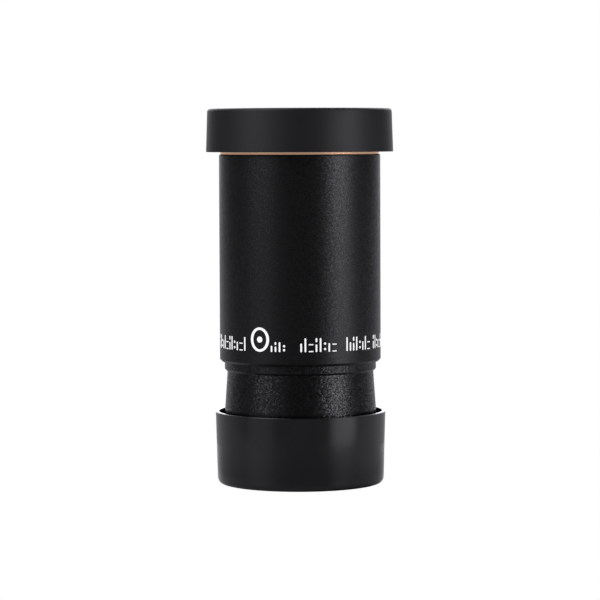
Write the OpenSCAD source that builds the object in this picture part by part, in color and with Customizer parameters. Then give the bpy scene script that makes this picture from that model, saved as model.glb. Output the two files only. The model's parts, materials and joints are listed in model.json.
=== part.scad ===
// Telescope eyepiece with a 1.25-inch nose, standing on its barrel cap with both dust caps on.
// Every piece is turned about Z. Z = 0 is the flat underside of the barrel cap.

/* [Housing] */
// Outside diameter of the housing tube
housing_d = 33.7; // [33.6:0.05:34.4]
// Length of the housing tube
housing_len = 43.2; // [43:0.05:46]
// Wall thickness of the housing tube
housing_wall = 2.45; // [2.4:0.05:2.8]
// Chamfer on the housing's lower edge
housing_chamfer = 0.5; // [0.2:0.05:0.9]

/* [Nose barrel] */
// Outside diameter of the standard nose
nose_d = 31.7; // [31.6:0.01:31.75]
// Length of the nose below the housing
nose_len = 24.45; // [24:0.05:26]
// Height of the full-size land under the housing
land_h = 1.95; // [1.5:0.05:2]
// Length of the straight stretch, end chamfer included
grip_len = 14.2; // [13:0.1:15]
// Diameter at the top of the tapered safety undercut
undercut_d = 30.55; // [30.2:0.05:31]
// Minor diameter of the filter thread, M28.5 x 0.6
filter_d = 27.85; // [27.8:0.01:27.9]
// Depth of the filter thread
filter_len = 5.2; // [5:0.1:5.6]

/* [Accent ring] */
// Outside diameter of the anodised ring
accent_d = 33.1; // [32.9:0.1:33.3]
// Height of the anodised ring
accent_h = 0.65; // [0.5:0.05:0.7]

/* [Eyecup] */
// Outside diameter of the folded rubber skirt
eyecup_d = 36.6; // [36:0.1:36.7]
// Height of the rubber above the housing
eyecup_top = 8; // [7.8:0.1:8.1]
// Thickness of the rubber
rubber_t = 0.85; // [0.7:0.05:0.9]

/* [Eye cap] */
// Diameter of the eye cap at its open rim
eye_cap_rim_d = 39.1; // [39:0.1:40]
// Diameter of the eye cap at its closed end
eye_cap_top_d = 38.5; // [38.4:0.1:39]
// Height of the eye cap
eye_cap_h = 9; // [8.8:0.05:9.4]

/* [Barrel cap] */
// Diameter of the barrel cap at its open mouth
barrel_cap_mouth_d = 35.6; // [35.2:0.1:36]
// Diameter of the barrel cap at its floor
barrel_cap_floor_d = 34.8; // [34.5:0.1:35]
// Height of the barrel cap
barrel_cap_h = 15.2; // [14:0.05:15.5]
// Thickness of the barrel cap's floor
cap_floor = 1.2; // [1:0.1:1.4]

/* [Optics] */
// Diameter of the eye lens
eye_lens_d = 22.5; // [22:0.1:22.5]
// Diameter of the middle lens and of the cemented pair under it
group_lens_d = 24; // [23.6:0.1:24]
// Diameter of the cemented negative pair in the nose
smyth_d = 18; // [17.5:0.1:18]
// Clear diameter of the field stop
field_stop_d = 11.6; // [9:0.1:14]

/* [Hidden] */
$fn = 96;

// Heights of the main joints
nose_end = cap_floor;
shoulder = nose_end + nose_len;
housing_top = shoulder + housing_len;
collar_base = housing_top + accent_h;

// Working clearances
thread_gap = 0.02;
seat_gap = 0.02;
cement_gap = 0.01;
edge_break = 0.15;

// Housing and nose, radii
housing_r = housing_d / 2;
housing_bore_r = housing_r - housing_wall;
nose_r = nose_d / 2;
undercut_r = undercut_d / 2;
filter_r = filter_d / 2;
nose_bore_r = filter_r - 0.7;
spigot_r = 14.85;
spigot_h = 4.8;
nose_chamfer = 0.8;
thread_chamfer = 0.4;
land_chamfer = 0.4;
top_chamfer = 0.2;
grip_top = nose_end + grip_len;
land_bottom = shoulder - land_h;

// Inner flange of the housing, which locates the lens barrel and stops the collar's spigot
flange_bottom = housing_top - 5.1;
flange_top = housing_top - 3.6;
collar_spigot_r = 15.25;

// Collar that carries the eyecup
accent_r = accent_d / 2;
accent_chamfer = 0.12;
collar_flange_r = 16.25;
collar_flange_h = 1.15;
groove_r = 15.5;
groove_bottom = collar_base + collar_flange_h;
groove_top = groove_bottom + 2.3;
lip_r = 16.1;
collar_top = groove_top + 0.9;
collar_bore_r = 13;

// Lens barrel, from its lock ring up to its neck
barrel_r = housing_bore_r - thread_gap;
neck_r = collar_bore_r - 0.1;
neck_top = housing_top + 2.3;
barrel_bottom = housing_top - 27.8;
ridge_top = housing_top - 5.7;
ridge_bottom = housing_top - 10.6;
ridge_r = 10.6;

// Eye lens: convex towards the middle lens, nearly flat towards the eye
eye_r = eye_lens_d / 2;
eye_low_curve = 24;
eye_high_curve = 70;
eye_low = ridge_top + seat_gap - sag(eye_low_curve, ridge_r);
eye_high = eye_low + 6.2;

// Middle lens: equal convex faces
group_r = group_lens_d / 2;
middle_curve = 30;
middle_high = ridge_bottom - seat_gap + sag(middle_curve, ridge_r);
middle_low = middle_high - 6.8;

// Cemented pair: crown above, flint below
crown_curve = 28;
pair_curve = 24;
flint_curve = 90;
crown_high = middle_low - 0.5;
crown_low = crown_high - 7;
flint_low = crown_low - 1.9;

// Rings that hold the lenses
contact_r = group_r - 0.8;
retainer_h = 1.7;
spanner_slot_w = 1.6;
spanner_slot_depth = 0.8;
eye_thread_r = 11.9;
eye_retainer_r = 10.7;
eye_retainer_low = eye_high - sag(eye_high_curve, eye_retainer_r) + seat_gap;
pair_thread_r = 12.6;
pair_retainer_high = flint_low + sag(flint_curve, contact_r) - seat_gap;
spacer_low = crown_high - sag(crown_curve, contact_r) + seat_gap;
spacer_high = middle_low + sag(middle_curve, contact_r) - seat_gap;
lock_ring_h = 2.2;
stop_top = housing_top - 32.8;
stop_h = 2;
baffle_low = nose_end + 20.8;
baffle_h = 1.2;

// Negative cemented pair in its cell
smyth_r = smyth_d / 2;
smyth_seat_r = 8.2;
smyth_low_curve = 40;
smyth_pair_curve = 20;
smyth_high_curve = 45;
cell_bottom = nose_end + 6;
cell_flange_h = 3;
cell_r = smyth_r + 1.8;
cell_bore_r = smyth_r + 0.05;
cell_thread_r = smyth_r + 0.6;
smyth_rim_low = cell_bottom + 2.4;
smyth_low = smyth_rim_low + sag(smyth_low_curve, smyth_r) + seat_gap;
smyth_mid = smyth_low + 1.8;
smyth_high = smyth_mid + 3.2;
cell_seat = smyth_high + sag(smyth_high_curve, smyth_r) + seat_gap;
cell_top = cell_seat + 1.1;

// Eyecup, folded down over itself
fold_r = (eyecup_d / 2 - lip_r) / 2;
fold_x = lip_r + fold_r;
fold_z = housing_top + eyecup_top - fold_r;
skirt_bottom = housing_top + 1.5;

// Caps
eye_cap_bottom = housing_top + 0.5;
eye_cap_top = eye_cap_bottom + eye_cap_h;
eye_cap_wall = 0.8;
eye_cap_ceiling = 1;
eye_cap_corner = 0.6;
barrel_cap_wall = 0.7;
barrel_cap_corner = 1.2;
rib_count = 6;
rib_w = 1.2;
rib_h = 0.75;
rib_r = nose_r + 0.1;

// Colours
black_metal = [0.09, 0.09, 0.1];
inner_black = [0.16, 0.16, 0.17];
orange_metal = [0.78, 0.45, 0.2];
rubber_black = [0.13, 0.13, 0.13];
cap_black = [0.2, 0.2, 0.21];
glass_tint = [0.6, 0.75, 0.7];

// Depth of a spherical face of radius curve at the distance r from the axis
function sag(curve, r) = curve - sqrt(curve * curve - r * r);

// Rectangle in a turned section: r0 to r1 from the axis, z0 to z1 up
module band(r0, r1, z0, z1) {
    translate([r0, z0]) square([r1 - r0, z1 - z0]);
}

// What a fillet of radius size takes off the outer corner at (r, z). out and up are 1 or -1.
module corner_waste(r, z, size, out, up) {
    spare = 0.1;
    side = size + spare;
    translate([r - out * size, z - up * size])
        difference() {
            translate([out > 0 ? 0 : -side, up > 0 ? 0 : -side]) square(side);
            circle(r = size);
        }
}

// What a 45-degree chamfer takes off the outer corner at (r, z). out and up are 1 or -1.
module chamfer_waste(r, z, size, out, up) {
    polygon([[r - out * size, z], [r, z], [r, z - up * size]]);
}

// Region behind one face of a lens, whose vertex is at z on the axis. inward is 1 for a lower face,
// -1 for an upper one. curve is positive for a convex face and negative for a hollow one.
module lens_side(z, curve, inward) {
    reach = 200;
    if (curve > 0)
        translate([0, z + inward * curve]) circle(r = curve);
    else
        difference() {
            translate([0, z]) square(reach, center = true);
            translate([0, z + inward * curve]) circle(r = -curve);
        }
}

// Lens of rim radius r between the vertices low and high
module lens(r, low, high, low_curve, high_curve) {
    rim_low = low - (low_curve < 0 ? sag(-low_curve, r) : 0);
    rim_high = high + (high_curve < 0 ? sag(-high_curve, r) : 0);
    color(glass_tint)
        rotate_extrude()
            intersection() {
                band(0, r, rim_low, rim_high);
                lens_side(low, low_curve, 1);
                lens_side(high, high_curve, -1);
            }
}

// Threaded ring with two slots for a lens spanner in its upper or lower face
module slotted_ring(r0, r1, z0, z1, slots_up) {
    slot_z = slots_up ? z1 - spanner_slot_depth : z0 - spanner_slot_depth;
    difference() {
        rotate_extrude()
            difference() {
                band(r0, r1, z0, z1);
                chamfer_waste(r1, z0, edge_break, 1, -1);
                chamfer_waste(r1, z1, edge_break, 1, 1);
            }
        translate([-r1 - 1, -spanner_slot_w / 2, slot_z])
            cube([2 * r1 + 2, spanner_slot_w, 2 * spanner_slot_depth]);
    }
}

module eye_cap() {
    rim_r = eye_cap_rim_d / 2;
    top_r = eye_cap_top_d / 2;
    ceiling = eye_cap_top - eye_cap_ceiling;
    color(cap_black)
        rotate_extrude()
            difference() {
                polygon([[0, eye_cap_bottom], [rim_r, eye_cap_bottom], [top_r, eye_cap_top], [0, eye_cap_top]]);
                polygon([
                    [0, eye_cap_bottom - 1],
                    [rim_r - eye_cap_wall, eye_cap_bottom - 1],
                    [rim_r - eye_cap_wall, eye_cap_bottom],
                    [top_r - eye_cap_wall, ceiling],
                    [0, ceiling]
                ]);
                corner_waste(top_r, eye_cap_top, eye_cap_corner, 1, 1);
                corner_waste(rim_r, eye_cap_bottom, edge_break, 1, -1);
            }
}

module eyecup() {
    outer_r = eyecup_d / 2;
    color(rubber_black)
        rotate_extrude() {
            // bead in the collar's groove
            band(groove_r + seat_gap, lip_r + rubber_t, groove_bottom, groove_top - seat_gap);
            // inner band above the collar's lip
            band(lip_r + seat_gap, lip_r + rubber_t, groove_bottom, fold_z);
            // fold
            difference() {
                translate([fold_x, fold_z]) circle(r = fold_r - seat_gap);
                translate([fold_x, fold_z]) circle(r = fold_r - rubber_t);
                band(0, outer_r + 1, fold_z - 2 * fold_r, fold_z);
            }
            // skirt turned down outside
            difference() {
                band(outer_r - rubber_t, outer_r - seat_gap, skirt_bottom, fold_z);
                corner_waste(outer_r - seat_gap, skirt_bottom, edge_break, 1, -1);
            }
        }
}

module eye_end_collar() {
    color(black_metal)
        rotate_extrude()
            difference() {
                union() {
                    band(collar_bore_r, collar_spigot_r, flange_top + thread_gap, collar_base);
                    band(collar_bore_r, collar_flange_r, collar_base, groove_bottom);
                    band(collar_bore_r, groove_r, groove_bottom, groove_top);
                    band(collar_bore_r, lip_r, groove_top, collar_top);
                }
                chamfer_waste(lip_r, collar_top, 2 * edge_break, 1, 1);
                // bowl around the eye lens
                polygon([
                    [collar_bore_r - 1, neck_top],
                    [collar_bore_r, neck_top],
                    [collar_bore_r + 1.8, collar_top],
                    [collar_bore_r - 1, collar_top]
                ]);
            }
}

module accent_ring() {
    color(orange_metal)
        rotate_extrude()
            difference() {
                band(collar_spigot_r + thread_gap, accent_r, housing_top, collar_base);
                chamfer_waste(accent_r, collar_base, accent_chamfer, 1, 1);
                chamfer_waste(accent_r, housing_top, accent_chamfer, 1, -1);
            }
}

module housing() {
    color(black_metal)
        rotate_extrude()
            difference() {
                band(0, housing_r, shoulder, housing_top);
                // thread for the nose barrel's spigot
                band(0, spigot_r + thread_gap, shoulder - 1, shoulder + spigot_h + 0.3);
                band(0, housing_bore_r, shoulder, flange_bottom);
                band(0, neck_r + 0.2, shoulder, housing_top + 1);
                // thread for the eye-end collar
                band(0, collar_spigot_r + thread_gap, flange_top, housing_top + 1);
                chamfer_waste(housing_r, shoulder, housing_chamfer, 1, -1);
                chamfer_waste(housing_r, housing_top, top_chamfer, 1, 1);
            }
}

module lens_barrel() {
    color(inner_black)
        rotate_extrude()
            difference() {
                union() {
                    band(0, barrel_r, barrel_bottom, flange_bottom);
                    band(0, neck_r, flange_bottom, neck_top);
                }
                band(0, pair_thread_r + thread_gap, barrel_bottom - 1, pair_retainer_high);
                band(0, group_r + 0.05, barrel_bottom, ridge_bottom);
                band(0, ridge_r, barrel_bottom, neck_top);
                band(0, eye_r + 0.05, ridge_top, neck_top);
                band(0, eye_thread_r + thread_gap, ridge_top + 2.6, neck_top);
                // flare above the retainer
                polygon([
                    [0, neck_top - 3.2],
                    [eye_thread_r, neck_top - 3.2],
                    [neck_r - 0.35, neck_top + 0.1],
                    [0, neck_top + 0.1]
                ]);
            }
}

module eye_lens_retainer() {
    color(inner_black)
        slotted_ring(eye_retainer_r, eye_thread_r, eye_retainer_low, eye_retainer_low + retainer_h, true);
}

module eye_lens() {
    lens(eye_r, eye_low, eye_high, eye_low_curve, eye_high_curve);
}

module middle_lens() {
    lens(group_r, middle_low, middle_high, middle_curve, middle_curve);
}

module lens_spacer() {
    color(inner_black)
        rotate_extrude()
            band(contact_r, group_r, spacer_low, spacer_high);
}

module pair_crown() {
    lens(group_r, crown_low, crown_high, pair_curve, crown_curve);
}

module pair_flint() {
    lens(group_r, flint_low, crown_low - cement_gap, flint_curve, -pair_curve);
}

module pair_retainer() {
    color(inner_black)
        slotted_ring(contact_r, pair_thread_r, pair_retainer_high - retainer_h, pair_retainer_high, false);
}

module barrel_lock_ring() {
    color(inner_black)
        slotted_ring(11.4, barrel_r, barrel_bottom - lock_ring_h, barrel_bottom, false);
}

module field_stop() {
    stop_r = field_stop_d / 2;
    color(inner_black)
        rotate_extrude()
            difference() {
                band(stop_r, barrel_r, stop_top - stop_h, stop_top);
                // knife edge, open towards the nose
                polygon([
                    [stop_r - 0.1, stop_top - stop_h - 0.1],
                    [stop_r + 3.5, stop_top - stop_h - 0.1],
                    [stop_r, stop_top - 0.3],
                    [stop_r - 0.1, stop_top - 0.3]
                ]);
            }
}

module glare_baffle() {
    color(inner_black)
        rotate_extrude()
            difference() {
                band(7.2, nose_bore_r, baffle_low, baffle_low + baffle_h);
                chamfer_waste(7.2, baffle_low, 0.8, -1, -1);
            }
}

module nose_barrel() {
    color(black_metal)
        rotate_extrude()
            difference() {
                union() {
                    band(0, nose_r, nose_end, grip_top);
                    polygon([[0, grip_top], [nose_r, grip_top], [undercut_r, land_bottom], [0, land_bottom]]);
                    band(0, nose_r, land_bottom, shoulder);
                    band(0, spigot_r, shoulder, shoulder + spigot_h);
                }
                band(0, filter_r, nose_end - 1, nose_end + filter_len);
                band(0, nose_bore_r, nose_end, shoulder + spigot_h + 1);
                chamfer_waste(nose_r, nose_end, nose_chamfer, 1, -1);
                chamfer_waste(filter_r, nose_end, thread_chamfer, -1, -1);
                chamfer_waste(spigot_r, shoulder + spigot_h, thread_chamfer, 1, 1);
                chamfer_waste(nose_r, land_bottom, land_chamfer, 1, -1);
            }
}

module smyth_cell() {
    slot_w = 2;
    color(inner_black)
        difference() {
            rotate_extrude()
                difference() {
                    union() {
                        band(smyth_seat_r, nose_bore_r, cell_bottom, cell_bottom + cell_flange_h);
                        band(smyth_seat_r, cell_r, cell_bottom, cell_top);
                    }
                    band(0, cell_thread_r + thread_gap, cell_bottom - 1, smyth_rim_low);
                    band(0, cell_bore_r, cell_bottom, cell_seat);
                    chamfer_waste(nose_bore_r, cell_bottom, edge_break, 1, -1);
                }
            // spanner slots in the flange
            for (side = [0, 180])
                rotate([0, 0, side])
                    translate([nose_bore_r - 1.4, -slot_w / 2, cell_bottom - 1])
                        cube([2, slot_w, 2]);
        }
}

module smyth_crown() {
    lens(smyth_r, smyth_low, smyth_mid, -smyth_low_curve, -smyth_pair_curve);
}

module smyth_flint() {
    lens(smyth_r, smyth_mid + cement_gap, smyth_high, smyth_pair_curve, -smyth_high_curve);
}

module smyth_retainer() {
    color(inner_black)
        slotted_ring(smyth_seat_r, cell_thread_r, smyth_rim_low - retainer_h, smyth_rim_low, false);
}

module barrel_cap() {
    mouth_r = barrel_cap_mouth_d / 2;
    floor_r = barrel_cap_floor_d / 2;
    mouth_in_r = mouth_r - barrel_cap_wall;
    floor_in_r = floor_r - barrel_cap_wall;
    color(cap_black) {
        rotate_extrude()
            difference() {
                polygon([[0, 0], [floor_r, 0], [mouth_r, barrel_cap_h], [0, barrel_cap_h]]);
                polygon([
                    [0, cap_floor],
                    [floor_in_r, cap_floor],
                    [mouth_in_r, barrel_cap_h],
                    [mouth_in_r, barrel_cap_h + 1],
                    [0, barrel_cap_h + 1]
                ]);
                corner_waste(floor_r, 0, barrel_cap_corner, 1, -1);
                corner_waste(mouth_r, barrel_cap_h, edge_break, 1, 1);
            }
        // low ribs that centre the end of the nose
        for (i = [0 : rib_count - 1])
            rotate([0, 0, i * 360 / rib_count])
                translate([rib_r, -rib_w / 2, cap_floor - 0.1])
                    cube([floor_in_r - rib_r + 0.2, rib_w, rib_h + 0.1]);
    }
}

eye_cap();
eyecup();
eye_end_collar();
accent_ring();
housing();
lens_barrel();
eye_lens_retainer();
eye_lens();
middle_lens();
lens_spacer();
pair_crown();
pair_flint();
pair_retainer();
barrel_lock_ring();
field_stop();
glare_baffle();
nose_barrel();
smyth_cell();
smyth_crown();
smyth_flint();
smyth_retainer();
barrel_cap();
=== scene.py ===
"""Telescope eyepiece, standing on its barrel cap with both dust caps on."""

import itertools
import json
import math

import bmesh
import bpy
from mathutils import Matrix, Quaternion, Vector

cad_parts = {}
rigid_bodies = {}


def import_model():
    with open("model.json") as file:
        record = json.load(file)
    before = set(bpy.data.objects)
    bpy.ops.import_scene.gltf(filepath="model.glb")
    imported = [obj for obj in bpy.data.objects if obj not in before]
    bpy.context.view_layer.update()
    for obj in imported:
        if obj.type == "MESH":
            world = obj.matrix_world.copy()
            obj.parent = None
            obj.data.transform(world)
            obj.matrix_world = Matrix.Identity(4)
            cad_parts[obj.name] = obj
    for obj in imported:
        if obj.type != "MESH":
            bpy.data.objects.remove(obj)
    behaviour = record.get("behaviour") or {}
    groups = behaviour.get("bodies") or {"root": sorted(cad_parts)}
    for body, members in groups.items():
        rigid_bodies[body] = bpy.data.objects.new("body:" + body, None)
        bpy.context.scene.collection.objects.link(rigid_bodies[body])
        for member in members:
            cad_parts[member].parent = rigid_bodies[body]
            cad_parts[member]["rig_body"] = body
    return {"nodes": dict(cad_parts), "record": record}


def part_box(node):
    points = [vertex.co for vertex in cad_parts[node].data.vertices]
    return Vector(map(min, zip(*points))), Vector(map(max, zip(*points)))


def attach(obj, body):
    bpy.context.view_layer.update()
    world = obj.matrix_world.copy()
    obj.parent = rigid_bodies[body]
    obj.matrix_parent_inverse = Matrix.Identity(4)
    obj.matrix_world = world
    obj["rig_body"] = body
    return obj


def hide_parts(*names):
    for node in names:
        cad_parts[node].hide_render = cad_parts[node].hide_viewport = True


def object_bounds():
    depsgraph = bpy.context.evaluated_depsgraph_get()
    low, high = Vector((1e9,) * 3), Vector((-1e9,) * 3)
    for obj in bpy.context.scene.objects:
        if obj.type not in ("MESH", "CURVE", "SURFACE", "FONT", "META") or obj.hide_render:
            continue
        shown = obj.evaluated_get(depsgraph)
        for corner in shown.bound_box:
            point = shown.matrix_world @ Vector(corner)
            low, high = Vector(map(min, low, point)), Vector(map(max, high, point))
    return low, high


MM = 0.001

# Turned pieces
SECTION_AT = math.radians(40)  # where sections are taken, clear of the spanner slots and the ribs
ON_PLANE = 1e-9  # metres; a point nearer to the cutting plane than this lies on it
ON_AXIS = 1e-7  # metres; a point nearer to the axis than this lies on it
STRAIGHT = 2e-4  # sine of the turn below which an outline goes straight on
BLUNT = math.radians(24)  # a corner that turns by less than this isn't rounded
ROUNDED_SHARE = 0.4  # the most of a straight stretch that one rounded corner takes

# Printed marks, in millimetres and degrees
MARK_RISE = 3.05  # from the housing's lower end to the foot of the marks
MARK_PROUD = 0.03  # how far they stand out of the housing, and how far they reach into it
MARK_STROKE = 0.34  # width of an upright bar
MARK_STEP = 0.86  # from a bar to the next mark
DOTS_STEP = 1.0  # from a pair of dots to the next mark
DASHES_STEP = 1.42  # from a pair of dashes to the next mark
MARK_GROUPS = (  # first and last angle from the front, and height
    (-128, -88, 2.8),
    (-80, -41, 2.8),
    (-21, -9, 2.0),
    (0, 27, 2.8),
    (34, 57, 2.8),
    (63, 96, 2.8),
    (104, 130, 2.8),
)
MARK_KINDS = (
    "post", "dots", "low", "post", "dashes", "pair", "post", "dots", "low", "dashes", "post", "low", "pair",
)
TARGET_AT = -29.5  # place of the largest mark, a ring with a dot
TARGET_SIZE = 5.0

# Hidden details, in millimetres
THREAD_PITCH = 0.6
THREAD_DEPTH = 0.32
THREAD_LEAD = 0.3  # from the start of the filter thread's bore to its ridge
THREAD_RUNOUT = 0.5  # from the end of the ridge to the end of the bore
THREAD_SUNK = 0.05  # how far the ridge's foot lies inside the wall
THREAD_FADE = 0.03  # how far its crest lies inside the wall at both ends
HOOPS = 5  # raised lines on the eyecup
HOOP_RISE = 0.9  # from the eyecup's lower end to the first one
HOOP_STEP = 0.95
HOOP_R = 0.17  # radius of a line's section
HOOP_SUNK = 0.06  # how far its middle lies inside the skirt
RIBS = 6  # in the barrel cap
RIB_W = 1.2
RIB_H = 0.75

# Stage and light
PLATE_HALF = 0.074  # half the side of the square plate under the object, in metres
PLATE_TURN = 44  # degrees it is turned about the object's axis
COOL = (0.98, 0.98, 1.05)  # colour of the studio's light

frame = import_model()
cad_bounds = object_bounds()
nodes = frame["nodes"]
mounts = {mount["name"]: mount for mount in frame["record"]["mounts"]}
floor_z = cad_bounds[0].z
height = cad_bounds[1].z - cad_bounds[0].z


def low_end(node):
    """Height of a CAD node's lower end, in millimetres."""
    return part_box(node)[0].z / MM


def radius_of(node):
    """Radius of a round CAD node, in millimetres."""
    low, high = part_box(node)
    return (high.x - low.x) / 2 / MM


# ---------------------------------------------------------------- materials


class Graph:
    """A material's node tree, with short calls to add and join nodes."""

    def __init__(self, name):
        self.material = bpy.data.materials.new(name)
        self.material.use_nodes = True
        self.tree = self.material.node_tree
        self.tree.nodes.clear()
        self.shader = self.add("ShaderNodeBsdfPrincipled")
        self.output = self.add("ShaderNodeOutputMaterial")
        self.join(self.shader, "BSDF", self.output, "Surface")
        self.where = self.add("ShaderNodeTexCoord")

    def add(self, kind, **settings):
        node = self.tree.nodes.new(kind)
        for key, value in settings.items():
            setattr(node, key, value)
        return node

    def join(self, source, out, target, into):
        self.tree.links.new(source.outputs[out], target.inputs[into])

    def set(self, **values):
        """Constant values on the shader's own sockets; underscores stand for spaces."""
        for key, value in values.items():
            self.shader.inputs[key.replace("_", " ")].default_value = value

    def noise(self, cell, detail):
        """Noise whose features are about cell millimetres across."""
        node = self.add("ShaderNodeTexNoise")
        node.inputs["Scale"].default_value = 1 / (cell * MM)
        node.inputs["Detail"].default_value = detail
        node.inputs["Roughness"].default_value = 0.5
        self.join(self.where, "Object", node, "Vector")
        return node

    def cells(self, cell):
        """Voronoi cells about cell millimetres across."""
        node = self.add("ShaderNodeTexVoronoi")
        node.inputs["Scale"].default_value = 1 / (cell * MM)
        self.join(self.where, "Object", node, "Vector")
        return node

    def span(self, source, out, low, high, start=0.0, end=1.0):
        """Maps source from start..end to low..high."""
        node = self.add("ShaderNodeMapRange")
        node.inputs["From Min"].default_value = start
        node.inputs["From Max"].default_value = end
        node.inputs["To Min"].default_value = low
        node.inputs["To Max"].default_value = high
        self.join(source, out, node, "Value")
        return node

    def blend(self, factor, low, high):
        """Colour between low and high, by a noise."""
        node = self.add("ShaderNodeMix", data_type="RGBA")
        node.inputs["A"].default_value = (*low, 1)
        node.inputs["B"].default_value = (*high, 1)
        self.join(factor, "Fac", node, "Factor")
        return node

    def bump(self, source, depth):
        """Bump of depth millimetres, by a noise."""
        node = self.add("ShaderNodeBump")
        node.inputs["Strength"].default_value = 1
        node.inputs["Distance"].default_value = depth * MM
        self.join(source, "Fac", node, "Height")
        return node

    def tilt(self, source, lean, below):
        """The normal of the bump below, tilted by a colour whose parts run from 0 to 1."""
        offset = self.add("ShaderNodeVectorMath", operation="MULTIPLY_ADD")
        offset.inputs[1].default_value = (lean, lean, lean)
        offset.inputs[2].default_value = (-lean / 2, -lean / 2, -lean / 2)
        self.join(source, "Color", offset, 0)
        total = self.add("ShaderNodeVectorMath", operation="ADD")
        self.join(below, "Normal", total, 0)
        self.join(offset, "Vector", total, 1)
        node = self.add("ShaderNodeVectorMath", operation="NORMALIZE")
        self.join(total, "Vector", node, 0)
        return node

    def coated(self, tone, rough):
        """The material, with its colour and roughness joined to the shader."""
        self.join(tone, "Result", self.shader, "Base Color")
        self.join(rough, "Result", self.shader, "Roughness")
        return self.material

    def bumped(self, tone, rough, relief):
        """The material, with its colour, roughness and bump joined to the shader."""
        self.join(relief, "Normal", self.shader, "Normal")
        return self.coated(tone, rough)


def anodised_black(name, cell, glints, lean, roughness):
    """Bead-blasted black anodising.

    Each grain, cell millimetres across, leans its own way by up to lean and has its own gloss.
    """
    g = Graph(name)
    grain = g.cells(cell)
    fine = g.noise(0.12, 2)
    cloud = g.noise(9, 3)
    facet = g.add("ShaderNodeSeparateColor")
    g.join(grain, "Color", facet, "Color")
    glint = g.span(facet, "Red", *glints)
    relief = g.tilt(grain, lean, g.bump(fine, 0.006))
    g.join(glint, "Result", g.shader, "Specular IOR Level")
    g.join(relief, "Vector", g.shader, "Normal")
    tone = g.blend(cloud, (0.0026, 0.0026, 0.0027), (0.0040, 0.0040, 0.0042))
    rough = g.span(fine, "Fac", *roughness, 0.25, 0.75)
    return g.coated(tone, rough)


def eye_cap_plastic():
    g = Graph("eye_cap_matt_plastic")
    g.set(Specular_IOR_Level=0.5)
    skin = g.noise(0.3, 3)
    cloud = g.noise(12, 4)
    tone = g.blend(cloud, (0.0068, 0.0068, 0.0070), (0.0092, 0.0092, 0.0096))
    rough = g.span(cloud, "Fac", 0.48, 0.54, 0.3, 0.7)
    return g.bumped(tone, rough, g.bump(skin, 0.005))


def barrel_cap_plastic():
    g = Graph("barrel_cap_satin_plastic")
    g.set(Specular_IOR_Level=0.5)
    skin = g.noise(0.4, 2)
    cloud = g.noise(10, 4)
    tone = g.blend(cloud, (0.0075, 0.0075, 0.0076), (0.0095, 0.0095, 0.0098))
    rough = g.span(cloud, "Fac", 0.11, 0.15, 0.3, 0.7)
    return g.bumped(tone, rough, g.bump(skin, 0.001))


def glowing_anodised_orange():
    g = Graph("anodised_orange_turned")
    # The orange emission is painted light: the ring glows by itself, standing in for light that falls on it
    # under the eye cap's rim.
    g.set(Metallic=1.0, Emission_Color=(1.0, 0.63, 0.42, 1), Emission_Strength=0.24)
    streaks = g.noise(0.2, 3)
    tone = g.blend(streaks, (0.96, 0.56, 0.36), (1.0, 0.66, 0.44))
    rough = g.span(streaks, "Fac", 0.30, 0.42)
    return g.bumped(tone, rough, g.bump(streaks, 0.003))


def rubber():
    g = Graph("eyecup_rubber")
    g.set(Specular_IOR_Level=0.4)
    skin = g.noise(0.18, 3)
    cloud = g.noise(6, 3)
    tone = g.blend(cloud, (0.012, 0.012, 0.012), (0.018, 0.018, 0.018))
    rough = g.span(skin, "Fac", 0.62, 0.80)
    return g.bumped(tone, rough, g.bump(skin, 0.006))


def inner_black():
    g = Graph("inner_black_turned")
    fine = g.noise(0.15, 2)
    tone = g.blend(fine, (0.004, 0.004, 0.004), (0.009, 0.009, 0.0095))
    rough = g.span(fine, "Fac", 0.45, 0.65)
    return g.bumped(tone, rough, g.bump(fine, 0.006))


def coated_glass():
    g = Graph("coated_glass")
    g.set(Transmission_Weight=1.0, IOR=1.52, Specular_Tint=(0.45, 1.0, 0.62, 1))
    haze = g.noise(3, 4)
    tone = g.blend(haze, (0.93, 0.98, 0.95), (0.97, 1.0, 0.98))
    rough = g.span(haze, "Fac", 0.0, 0.02, 0.45, 0.8)
    return g.coated(tone, rough)


def glowing_mark_paint():
    g = Graph("glowing_mark_paint")
    # The white emission is painted light: the marks glow by themselves so that they look brightly lit.
    g.set(Emission_Color=(1, 1, 1, 1), Emission_Strength=0.6)
    wear = g.noise(0.25, 3)
    tone = g.blend(wear, (0.80, 0.80, 0.79), (0.90, 0.90, 0.89))
    rough = g.span(wear, "Fac", 0.4, 0.6)
    return g.bumped(tone, rough, g.bump(wear, 0.004))


# ---------------------------------------------------------------- turned pieces


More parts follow.
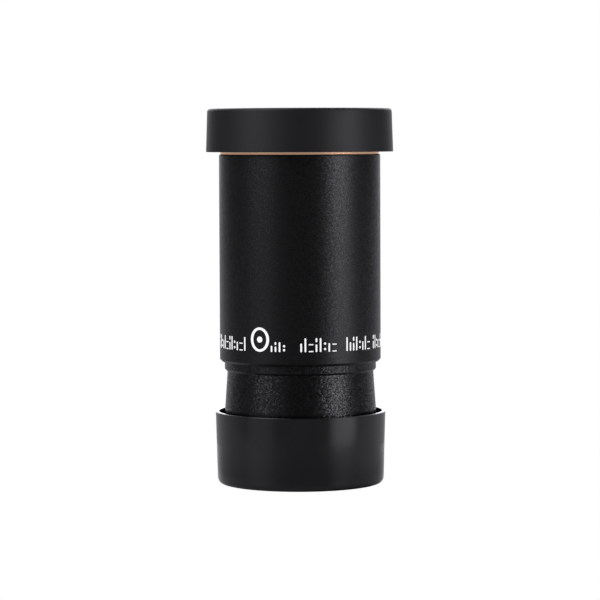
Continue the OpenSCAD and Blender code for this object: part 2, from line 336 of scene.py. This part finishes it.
def section(node):
    """Outlines of a CAD node's section in the half-plane at SECTION_AT, as lists of (r, z) in metres.

    A closed outline repeats no point. An outline that meets the axis starts and ends on it.
    """
    across = Vector((math.cos(SECTION_AT), math.sin(SECTION_AT), 0))
    normal = Vector((-across.y, across.x, 0))
    cut = bmesh.new()
    cut.from_mesh(nodes[node].data)
    geometry = cut.verts[:] + cut.edges[:] + cut.faces[:]
    found = bmesh.ops.bisect_plane(
        cut, geom=geometry, dist=ON_PLANE, plane_co=(0, 0, 0), plane_no=normal
    )
    ends = {}
    for edge in (e for e in found["geom_cut"] if isinstance(e, bmesh.types.BMEdge)):
        a, b = [(v.co.dot(across), v.co.z) for v in edge.verts]
        if max(a[0], b[0]) <= ON_PLANE:
            continue
        if min(a[0], b[0]) < 0:
            share = a[0] / (a[0] - b[0])
            on_axis = (0.0, a[1] + share * (b[1] - a[1]))
            a, b = (on_axis, b) if a[0] < 0 else (a, on_axis)
        a, b = [(round(r, 8), round(z, 8)) for r, z in (a, b)]
        if a != b:
            ends.setdefault(a, set()).add(b)
            ends.setdefault(b, set()).add(a)
    cut.free()
    outlines = []
    while ends:
        start = next((p for p in ends if len(ends[p]) == 1), next(iter(ends)))
        outline, point = [start], start
        while ends.get(point):
            after = ends[point].pop()
            ends[after].discard(point)
            outline.append(after)
            point = after
        ends = {p: links for p, links in ends.items() if links}
        if outline[0] == outline[-1]:
            outline.pop()
        outlines.append(outline)
    return outlines


def straightened(outline, closed):
    """The outline without the points that lie on a straight line between their neighbours."""
    kept = []
    for i, point in enumerate(outline):
        if not closed and i in (0, len(outline) - 1):
            kept.append(point)
            continue
        before = Vector(kept[-1] if kept else outline[i - 1])
        after = Vector(outline[(i + 1) % len(outline)])
        here = Vector(point)
        a, b = here - before, after - here
        if abs(a.x * b.y - a.y * b.x) > STRAIGHT * a.length * b.length or a.dot(b) < 0:
            kept.append(point)
    return kept


def eased(outline, closed, size):
    """The outline with each sharp corner rounded to a radius of about size metres."""
    steps = 4
    made = []
    for i, point in enumerate(outline):
        here = Vector(point)
        if not closed and i in (0, len(outline) - 1):
            made.append(here)
            continue
        a = Vector(outline[i - 1]) - here
        b = Vector(outline[(i + 1) % len(outline)]) - here
        turn = math.pi - a.angle(b)
        if turn < BLUNT:
            made.append(here)
            continue
        reach = min(size * math.tan(turn / 2), ROUNDED_SHARE * a.length, ROUNDED_SHARE * b.length)
        start = here + a.normalized() * reach
        end = here + b.normalized() * reach
        for k in range(steps + 1):
            t = k / steps
            made.append(start * (1 - t) ** 2 + here * (2 * t * (1 - t)) + end * t**2)
    return made


def outward(before, here, after):
    """Normal at a point of an outline. The longer of the two stretches that meet there counts more."""
    slope = Vector((0, 0))
    if before is not None:
        slope += (here - before) * (here - before).length ** 2
    if after is not None:
        slope += (after - here) * (after - here).length ** 2
    return Vector((slope.y, -slope.x)).normalized()


def turned_rings(made, outline, closed, around):
    """Adds a ring of vertices for each point of an outline. Returns the rings and the vertices' normals."""
    rings = []
    normals = []
    count = len(outline)
    for i, here in enumerate(outline):
        before = outline[i - 1] if closed or i else None
        after = outline[(i + 1) % count] if closed or i < count - 1 else None
        out = outward(before, here, after)
        if here.x < ON_AXIS:
            rings.append([made.verts.new((0, 0, here.y))])
            normals.append((0, 0, math.copysign(1, out.y)))
            continue
        ring = []
        for k in range(around):
            turn = 2 * math.pi * k / around
            c, s = math.cos(turn), math.sin(turn)
            ring.append(made.verts.new((here.x * c, here.x * s, here.y)))
            normals.append((out.x * c, out.x * s, out.y))
        rings.append(ring)
    return rings, normals


def turned(name, node, edge, around=256):
    """A finely turned piece with a CAD node's section, which stands for the node.

    Its edges are eased to a radius of edge millimetres.
    """
    made = bmesh.new()
    normals = []
    for outline in section(node):
        closed = outline[0][0] > ON_AXIS or outline[-1][0] > ON_AXIS
        outline = eased(straightened(outline, closed), closed, edge * MM)
        area = sum(p.x * q.y - q.x * p.y for p, q in zip(outline, outline[1:] + outline[:1]))
        if area < 0:
            outline.reverse()
        rings, added_normals = turned_rings(made, outline, closed, around)
        normals += added_normals
        pairs = list(zip(rings, rings[1:]))
        if closed:
            pairs.append((rings[-1], rings[0]))
        for low, high in pairs:
            for k in range(around):
                after = (k + 1) % around
                corners = [low[k % len(low)], low[after % len(low)]]
                corners += [high[after % len(high)], high[k % len(high)]]
                corners = list(dict.fromkeys(corners))
                if len(corners) > 2:
                    made.faces.new(corners)
    mesh = bpy.data.meshes.new(name)
    made.to_mesh(mesh)
    made.free()
    mesh.shade_smooth()
    mesh.normals_split_custom_set_from_vertices(normals)
    piece = bpy.data.objects.new(name, mesh)
    bpy.context.scene.collection.objects.link(piece)
    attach(piece, nodes[node]["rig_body"])
    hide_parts(node)
    return piece


def finish_piece(piece, material):
    piece.data.materials.append(material)


# ---------------------------------------------------------------- added details


def added(name, made, node, material, smooth=True):
    """A piece of its own that rides with a CAD node and replaces nothing."""
    bmesh.ops.recalc_face_normals(made, faces=made.faces)
    mesh = bpy.data.meshes.new(name)
    made.to_mesh(mesh)
    made.free()
    if smooth:
        mesh.shade_smooth()
    mesh.materials.append(material)
    piece = bpy.data.objects.new(name, mesh)
    bpy.context.scene.collection.objects.link(piece)
    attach(piece, nodes[node]["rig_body"])


def wrapped(made, radius, outline, hole=None):
    """Adds a thin raised plate on a cylinder.

    outline and hole are (arc length, height) points in millimetres.
    """

    def corner(point, r):
        a = point[0] / radius
        return made.verts.new((r * math.sin(a) * MM, -r * math.cos(a) * MM, point[1] * MM))

    low = [corner(q, radius - MARK_PROUD) for q in outline]
    high = [corner(q, radius + MARK_PROUD) for q in outline]
    count = len(outline)
    walls = [(low, high)]
    if hole:
        inner_low = [corner(q, radius - MARK_PROUD) for q in hole]
        inner_high = [corner(q, radius + MARK_PROUD) for q in hole]
        walls.append((inner_high, inner_low))
        for k in range(count):
            after = (k + 1) % count
            made.faces.new((high[k], high[after], inner_high[after], inner_high[k]))
            made.faces.new((low[after], low[k], inner_low[k], inner_low[after]))
    else:
        made.faces.new(high)
        made.faces.new(low[::-1])
    for first, second in walls:
        for k in range(count):
            after = (k + 1) % count
            made.faces.new((first[k], first[after], second[after], second[k]))


def oval(u, v, half_w, half_h, count=28):
    turns = (2 * math.pi * k / count for k in range(count))
    return [(u + half_w * math.cos(t), v + half_h * math.sin(t)) for t in turns]


def bar(u, v, w, h):
    """A bar of width w and height h with rounded ends, its lower left corner at (u, v)."""
    r = min(w, h) * 0.3
    corners = (
        (u + w - r, v + r, -90),
        (u + w - r, v + h - r, 0),
        (u + r, v + h - r, 90),
        (u + r, v + r, 180),
    )
    turns = [(x, y, math.radians(start + step)) for x, y, start in corners for step in (0, 30, 60, 90)]
    return [(x + r * math.cos(t), y + r * math.sin(t)) for x, y, t in turns]


def ring_at(made, turn, outline):
    """Adds the vertices of an outline of (r, z) points in millimetres, turned about the axis."""
    c, s = math.cos(turn), math.sin(turn)
    return [made.verts.new((r * c * MM, r * s * MM, z * MM)) for r, z in outline]


def bridged(made, one, other):
    """Adds the faces between two rings of vertices."""
    count = len(one)
    for k in range(count):
        after = (k + 1) % count
        made.faces.new((one[k], other[k], other[after], one[after]))


def hoop(made, radius, z, line_r):
    """Adds a raised line round the axis, whose section is a circle of radius line_r, in millimetres."""
    around = 192
    sides = 10
    turns = [2 * math.pi * k / sides for k in range(sides)]
    outline = [(radius + line_r * math.cos(t), z + line_r * math.sin(t)) for t in turns]
    rings = [ring_at(made, 2 * math.pi * i / around, outline) for i in range(around)]
    for one, other in zip(rings, rings[1:] + rings[:1]):
        bridged(made, one, other)


def filter_thread():
    """The ridge of the filter thread on the wall of the nose's bore, which fades out at both ends."""
    made = bmesh.new()
    around = 96
    bore_r = mounts["filter_thread"]["dims"]["r_mm"]
    middle = mounts["filter_thread"]["pos_m"][2] / MM
    half = mounts["filter_thread"]["dims"]["length_mm"] / 2
    low, high = middle - half + THREAD_LEAD, middle + half - THREAD_RUNOUT
    count = round((high - low) / THREAD_PITCH * around)
    rings = []
    for i in range(count + 1):
        z = low + THREAD_PITCH * i / around
        share = min(1, 4 * i / around, 4 * (count - i) / around)
        rise = THREAD_DEPTH * share - THREAD_FADE
        ridge = ((-THREAD_SUNK, -0.4), (rise, -0.07), (rise, 0.07), (-THREAD_SUNK, 0.4))
        outline = [(bore_r - inward, z + up * THREAD_PITCH) for inward, up in ridge]
        rings.append(ring_at(made, 2 * math.pi * i / around, outline))
    for one, other in zip(rings, rings[1:]):
        bridged(made, one, other)
    made.faces.new(rings[0])
    made.faces.new(rings[-1][::-1])
    added("filter_thread", made, "nose_barrel", coarse_black)


def block(made, azimuth, r0, r1, width, z0, z1):
    """Adds a block with eased edges that runs outward from the axis. Sizes in millimetres and degrees."""
    sizes = Matrix.Diagonal(Vector((r1 - r0, width, z1 - z0, 1 / MM)) * MM)
    place = Matrix.Translation(Vector(((r0 + r1) / 2, 0, (z0 + z1) / 2)) * MM)
    turn = Matrix.Rotation(math.radians(azimuth), 4, "Z")
    corners = bmesh.ops.create_cube(made, size=1, matrix=turn @ place @ sizes)["verts"]
    edges = list({edge for corner in corners for edge in corner.link_edges})
    bmesh.ops.bevel(made, geom=edges, offset=0.12 * MM, segments=2, affect="EDGES")


def eyecup_hoops():
    """Raised lines that help to grip and fold the eyecup's skirt."""
    made = bmesh.new()
    first = low_end("eyecup") + HOOP_RISE
    for k in range(HOOPS):
        hoop(made, radius_of("eyecup") - HOOP_SUNK, first + k * HOOP_STEP, HOOP_R)
    added("eyecup_hoops", made, "eyecup", rubber_black)


def barrel_cap_ribs():
    """The low ribs that centre the nose in its cap, and the moulding mark in the middle of the floor."""
    floor = low_end("nose_barrel")  # the nose stands on it
    rib_r = mounts["nose"]["dims"]["r_mm"] + 0.1
    made = bmesh.new()
    for k in range(RIBS):
        block(made, k * 360 / RIBS, rib_r, rib_r + 1, RIB_W, floor - 0.2, floor + RIB_H)
    added("barrel_cap_ribs", made, "barrel_cap", satin_plastic, smooth=False)
    mark = bmesh.new()
    hoop(mark, 2.2, floor, 0.14)
    hoop(mark, 0.5, floor, 0.2)
    added("barrel_cap_gate_mark", mark, "barrel_cap", satin_plastic)


def printed_mark(made, radius, kind, u, foot, tall):
    """Adds a mark at arc length u, and returns how far on the next one starts."""
    if kind == "post":
        wrapped(made, radius, bar(u, foot, MARK_STROKE, tall))
    elif kind == "pair":
        wrapped(made, radius, bar(u, foot, MARK_STROKE, tall * 0.55))
        wrapped(made, radius, bar(u, foot + tall * 0.72, MARK_STROKE, tall * 0.28))
    elif kind == "low":
        wrapped(made, radius, bar(u, foot, MARK_STROKE, tall * 0.62))
    elif kind == "dots":
        for rise in (0.2, 0.6):
            wrapped(made, radius, oval(u + 0.26, foot + rise * tall, 0.24, 0.24, 16))
        return DOTS_STEP
    else:
        for rise in (0.0, 0.5):
            wrapped(made, radius, bar(u, foot + rise * tall, 0.95, 0.22))
        return DASHES_STEP
    return MARK_STEP


def printed_marks():
    """A ring of plain marks in place of the maker's print.

    There are groups of bars, dots and dashes, and one larger target.
    """
    made = bmesh.new()
    radius = radius_of("housing")
    foot = low_end("housing") + MARK_RISE
    kinds = itertools.cycle(MARK_KINDS)
    for start, end, tall in MARK_GROUPS:
        u, stop = math.radians(start) * radius, math.radians(end) * radius
        while u < stop - MARK_STROKE:
            u += printed_mark(made, radius, next(kinds), u, foot, tall)
    u = math.radians(TARGET_AT) * radius
    half = TARGET_SIZE / 2
    middle = foot + half - 0.05
    wrapped(made, radius, oval(u, middle, half * 0.86, half), oval(u, middle, half * 0.62, half * 0.80))
    wrapped(made, radius, oval(u, middle, 0.62, 0.62))
    added("printed_marks", made, "housing", glowing_mark_paint(), smooth=False)


# ---------------------------------------------------------------- the eyepiece


black = anodised_black(
    "anodised_black_blasted", cell=0.26, glints=(0.46, 0.56), lean=0.085, roughness=(0.29, 0.37)
)
coarse_black = anodised_black(
    "anodised_black_coarse", cell=0.17, glints=(0.39, 0.61), lean=0.265, roughness=(0.24, 0.32)
)
satin_plastic = barrel_cap_plastic()
rubber_black = rubber()
glass = coated_glass()
inner = inner_black()

finish_piece(turned("housing_tube", "housing", 0.08), black)
finish_piece(turned("nose_barrel_turned", "nose_barrel", 0.06), coarse_black)
finish_piece(turned("eye_end_collar_turned", "eye_end_collar", 0.06), black)
finish_piece(turned("accent_ring_turned", "accent_ring", 0.05), glowing_anodised_orange())
finish_piece(turned("folded_eyecup", "eyecup", 0.15), rubber_black)
finish_piece(turned("eye_cap_shell", "eye_cap", 0.12), eye_cap_plastic())
finish_piece(turned("barrel_cap_shell", "barrel_cap", 0.10), satin_plastic)

printed_marks()
filter_thread()
eyecup_hoops()
barrel_cap_ribs()

for name in ("eye_lens", "middle_lens", "pair_crown", "pair_flint", "smyth_crown", "smyth_flint"):
    finish_piece(turned(name + "_polished", name, 0.05, 192), glass)

for node in nodes.values():
    if not node.hide_render:
        node.data.materials.clear()
        node.data.materials.append(inner)


# ---------------------------------------------------------------- stage, light and camera


def white_plate():
    """Plain white to the camera, clear from below, and shaded where the object mirrors it. Its colour holds
    painted light, paler at the sides and at the object's foot.
    """
    g = Graph("white_plate")
    g.set(Roughness=0.6)
    place = g.add("ShaderNodeSeparateXYZ")
    g.join(g.where, "Object", place, "Vector")
    reach = g.add("ShaderNodeVectorMath", operation="LENGTH")
    g.join(g.where, "Object", reach, 0)
    # painted light: paler towards both sides, where the lamps light it, and close to the foot of the
    # object, where its shade falls
    left = g.span(place, "X", 0.47, 0.33, -0.060, -0.020)
    right = g.span(place, "X", 0.0, 0.28, 0.024, 0.050)
    painted_light_at_foot = g.span(reach, "Value", 0.30, 0.0, 0.018, 0.032)
    aside = g.add("ShaderNodeMath", operation="ADD")
    g.join(left, "Result", aside, 0)
    g.join(right, "Result", aside, 1)
    tone = g.add("ShaderNodeMath", operation="ADD")
    g.join(aside, "Value", tone, 0)
    g.join(painted_light_at_foot, "Result", tone, 1)
    g.join(tone, "Value", g.shader, "Base Color")

    path = g.add("ShaderNodeLightPath")
    glow = g.add("ShaderNodeEmission")
    glow.inputs["Color"].default_value = (1, 1, 1, 1)
    glow.inputs["Strength"].default_value = 1.0
    seen = g.add("ShaderNodeMixShader")
    g.join(path, "Is Camera Ray", seen, "Fac")
    g.join(g.shader, "BSDF", seen, 1)
    g.join(glow, "Emission", seen, 2)
    under = g.add("ShaderNodeNewGeometry")
    clear = g.add("ShaderNodeBsdfTransparent")
    side = g.add("ShaderNodeMixShader")
    g.join(under, "Backfacing", side, "Fac")
    g.join(seen, "Shader", side, 1)
    g.join(clear, "BSDF", side, 2)
    g.join(side, "Shader", g.output, "Surface")
    return g.material


def stage_floor():
    """A small pale plate to stand on."""
    made = bmesh.new()
    bmesh.ops.create_grid(made, x_segments=8, y_segments=8, size=PLATE_HALF)
    bmesh.ops.rotate(made, verts=made.verts, matrix=Matrix.Rotation(math.radians(PLATE_TURN), 3, "Z"))
    mesh = bpy.data.meshes.new("floor")
    made.to_mesh(mesh)
    made.free()
    mesh.materials.append(white_plate())
    floor = bpy.data.objects.new("floor", mesh)
    floor.location.z = floor_z - 0.02 * MM
    bpy.context.scene.collection.objects.link(floor)


def softbox(name, azimuth, low, high, spread, radiance, distance):
    """A rectangular light between the elevations low and high, and as wide as spread.

    Angles are in degrees. Azimuth 0 is the camera's side, and grows towards +X. distance is in metres.
    """
    a, e = math.radians(azimuth), math.radians((low + high) / 2)
    light = bpy.data.lights.new(name, "AREA")
    light.shape = "RECTANGLE"
    light.color = COOL
    light.size = 2 * distance * math.tan(math.radians(spread / 2))
    light.size_y = 2 * distance * math.tan(math.radians((high - low) / 2))
    light.energy = radiance * math.pi * light.size * light.size_y
    lamp = bpy.data.objects.new(name, light)
    aim = Vector((0, 0, floor_z + height / 2))
    way = Vector((math.sin(a) * math.cos(e), -math.cos(a) * math.cos(e), math.sin(e)))
    lamp.location = aim + way * distance
    lamp.rotation_mode = "QUATERNION"
    lamp.rotation_quaternion = way.to_track_quat("Z", "Y")
    bpy.context.scene.collection.objects.link(lamp)


def room():
    """World light, which the object mirrors. The camera itself sees plain white.

    There is a bright wall behind the object, paler sides above, a dim ground with a lamp's glow on each
    side, a low strip of light behind it, and darkness in front.
    """
    world = bpy.data.worlds.new("studio")
    bpy.context.scene.world = world
    world.use_nodes = True
    tree = world.node_tree
    tree.nodes.clear()
    where = tree.nodes.new("ShaderNodeTexCoord")
    part = tree.nodes.new("ShaderNodeSeparateXYZ")
    tree.links.new(where.outputs["Generated"], part.inputs[0])
    right, back, up = part.outputs["X"], part.outputs["Y"], part.outputs["Z"]

    def ramp(source, start, end, low, high):
        """Goes smoothly from low to high as source goes from start to end."""
        node = tree.nodes.new("ShaderNodeMapRange")
        node.interpolation_type = "SMOOTHSTEP"
        node.inputs["From Min"].default_value = start
        node.inputs["From Max"].default_value = end
        node.inputs["To Min"].default_value = low
        node.inputs["To Max"].default_value = high
        tree.links.new(source, node.inputs["Value"])
        return node.outputs["Result"]

    def math_node(operation, *sources):
        node = tree.nodes.new("ShaderNodeMath")
        node.operation = operation
        for socket, source in zip(node.inputs, sources):
            if isinstance(source, float):
                socket.default_value = source
            else:
                tree.links.new(source, socket)
        return node.outputs[0]

    def times(one, other):
        return math_node("MULTIPLY", one, other)

    def plus(one, other):
        return math_node("ADD", one, other)

    turned_right = math_node("MULTIPLY_ADD", right, 0.3, back)
    leaning = math_node("MULTIPLY_ADD", up, 0.35, back)
    wall = times(ramp(leaning, 0.80, 0.98, 0.0, 2.4), ramp(up, -0.02, 0.03, 0.0, 1.0))
    sides = times(ramp(turned_right, -0.05, 0.3, 0.0, 1.0), ramp(up, 0.2, 0.5, 0.0, 0.6))
    # the ground, with a glow towards each lamp
    toward_right_lamp = plus(times(right, 0.875), times(back, -0.485))
    toward_left_lamp = plus(times(right, -0.83), times(back, -0.56))
    ground = plus(ramp(turned_right, -0.9, 0.3, 0.22, 0.38), ramp(right, 0.5, 1.0, 0.0, 0.08))
    ground = plus(ground, ramp(toward_right_lamp, 0.89, 0.995, 0.0, 1.10))
    ground = plus(ground, ramp(toward_left_lamp, 0.89, 0.995, 0.0, 0.26))
    below = times(ground, ramp(up, -0.10, -0.02, 1.0, 0.0))
    # the low strip, just under the wall
    low = times(ramp(up, -0.11, -0.06, 0.0, 1.0), ramp(up, -0.02, 0.0, 1.0, 0.0))
    horizon = times(low, ramp(back, 0.42, 0.68, 0.0, 0.35))
    light = plus(plus(wall, sides), plus(below, horizon))

    lit = tree.nodes.new("ShaderNodeBackground")
    lit.inputs["Color"].default_value = (*COOL, 1)
    tree.links.new(light, lit.inputs["Strength"])
    backdrop = tree.nodes.new("ShaderNodeBackground")
    backdrop.inputs["Color"].default_value = (1, 1, 1, 1)
    path = tree.nodes.new("ShaderNodeLightPath")
    mix = tree.nodes.new("ShaderNodeMixShader")
    tree.links.new(path.outputs["Is Camera Ray"], mix.inputs["Fac"])
    tree.links.new(lit.outputs[0], mix.inputs[1])
    tree.links.new(backdrop.outputs[0], mix.inputs[2])
    output = tree.nodes.new("ShaderNodeOutputWorld")
    tree.links.new(mix.outputs[0], output.inputs["Surface"])


def studio():
    room()
    softbox("left_softbox", azimuth=-58, low=12, high=35, spread=32, radiance=3.8, distance=1.2)
    softbox("left_softbox_top", azimuth=-54, low=35, high=65, spread=38, radiance=2.4, distance=1.2)
    softbox("right_softbox", azimuth=59, low=5, high=18, spread=26, radiance=7.0, distance=1.6)


def camera():
    """A long lens at the height of the object's shoulder, aimed just below its middle."""
    distance = 0.575
    rise = 0.07264
    aim_rise = 0.03834
    aside = -0.03 * MM
    roll = math.radians(-0.22)
    lens = bpy.data.cameras.new("camera")
    lens.lens = 165
    lens.sensor_width = 36
    eye = bpy.data.objects.new("camera", lens)
    eye.location = (aside, -distance, floor_z + rise)
    back = eye.location - Vector((aside, 0, floor_z + aim_rise))
    eye.rotation_mode = "QUATERNION"
    eye.rotation_quaternion = back.to_track_quat("Z", "Y") @ Quaternion((0, 0, 1), roll)
    bpy.context.scene.collection.objects.link(eye)
    bpy.context.scene.camera = eye


stage_floor()
studio()
camera()
bpy.context.scene.view_settings.view_transform = "Standard"
